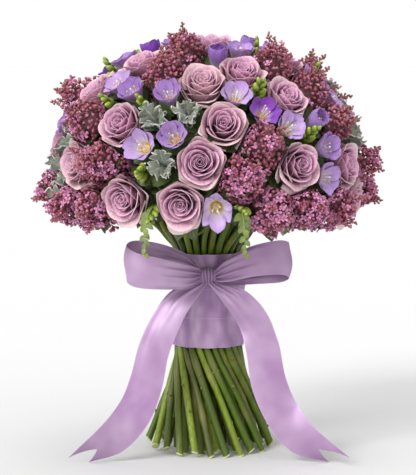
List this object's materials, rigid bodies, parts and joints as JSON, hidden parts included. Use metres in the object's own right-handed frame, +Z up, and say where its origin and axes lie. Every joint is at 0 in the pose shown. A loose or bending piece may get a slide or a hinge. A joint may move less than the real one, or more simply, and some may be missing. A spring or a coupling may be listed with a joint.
{
  "type": "hand-tied flower bouquet",
  "caption": "Round hand-tied bouquet of roses, freesias, lilac and silver leaf that stands on its cut stems, bound with a satin ribbon and a bow with two long tails.",
  "frame": {"origin": "on the floor in the middle of the bouquet's box, under the stems' cut ends", "axes": "+Z up along the bundle of stems, -Y towards the front with the bow, +X towards the right-hand tail of the bow"},
  "size_m": [0.3825, 0.3762, 0.4612],
  "materials": {
    "rose_petals": "soft mauve petals, paler at the rims",
    "lilac_florets": "matte purple-brown buds and florets",
    "freesia_petals": "thin lavender to violet petals, yellow in the throat",
    "silver_leaves": "felted silver grey leaves",
    "green_stems": "fresh green stems and buds",
    "satin_ribbon": "lavender satin"
  },
  "bodies": {
    "root": {"bow_knot": "satin_ribbon", "bow_loop_left": "satin_ribbon", "bow_loop_right": "satin_ribbon", "bow_tail_left": "satin_ribbon", "bow_tail_right": "satin_ribbon", "freesia_01": "freesia_petals", "freesia_02": "freesia_petals", "freesia_03": "freesia_petals", "freesia_04": "freesia_petals", "freesia_05": "freesia_petals", "freesia_06": "freesia_petals", "freesia_07": "freesia_petals", "freesia_08": "freesia_petals", "freesia_09": "freesia_petals", "freesia_10": "freesia_petals", "lilac_01": "lilac_florets", "lilac_02": "lilac_florets", "lilac_03": "lilac_florets", "lilac_04": "lilac_florets", "lilac_05": "lilac_florets", "lilac_06": "lilac_florets", "lilac_07": "lilac_florets", "lilac_08": "lilac_florets", "lilac_09": "lilac_florets", "lilac_10": "lilac_florets", "lilac_11": "lilac_florets", "lilac_12": "lilac_florets", "ribbon_wrap": "satin_ribbon", "rose_01": "rose_petals", "rose_02": "rose_petals", "rose_03": "rose_petals", "rose_04": "rose_petals", "rose_05": "rose_petals", "rose_06": "rose_petals", "rose_07": "rose_petals", "rose_08": "rose_petals", "rose_09": "rose_petals", "rose_10": "rose_petals", "rose_11": "rose_petals", "rose_12": "rose_petals", "rose_13": "rose_petals", "rose_14": "rose_petals", "rose_15": "rose_petals", "rose_16": "rose_petals", "rose_17": "rose_petals", "rose_18": "rose_petals", "rose_19": "rose_petals", "rose_20": "rose_petals", "rose_21": "rose_petals", "rose_22": "rose_petals", "rose_23": "rose_petals", "rose_24": "rose_petals", "rose_25": "rose_petals", "rose_26": "rose_petals", "rose_27": "rose_petals", "rose_28": "rose_petals", "silver_leaf_01": "silver_leaves", "silver_leaf_02": "silver_leaves", "silver_leaf_03": "silver_leaves", "stems": "green_stems"}
  },
  "joints": []
}
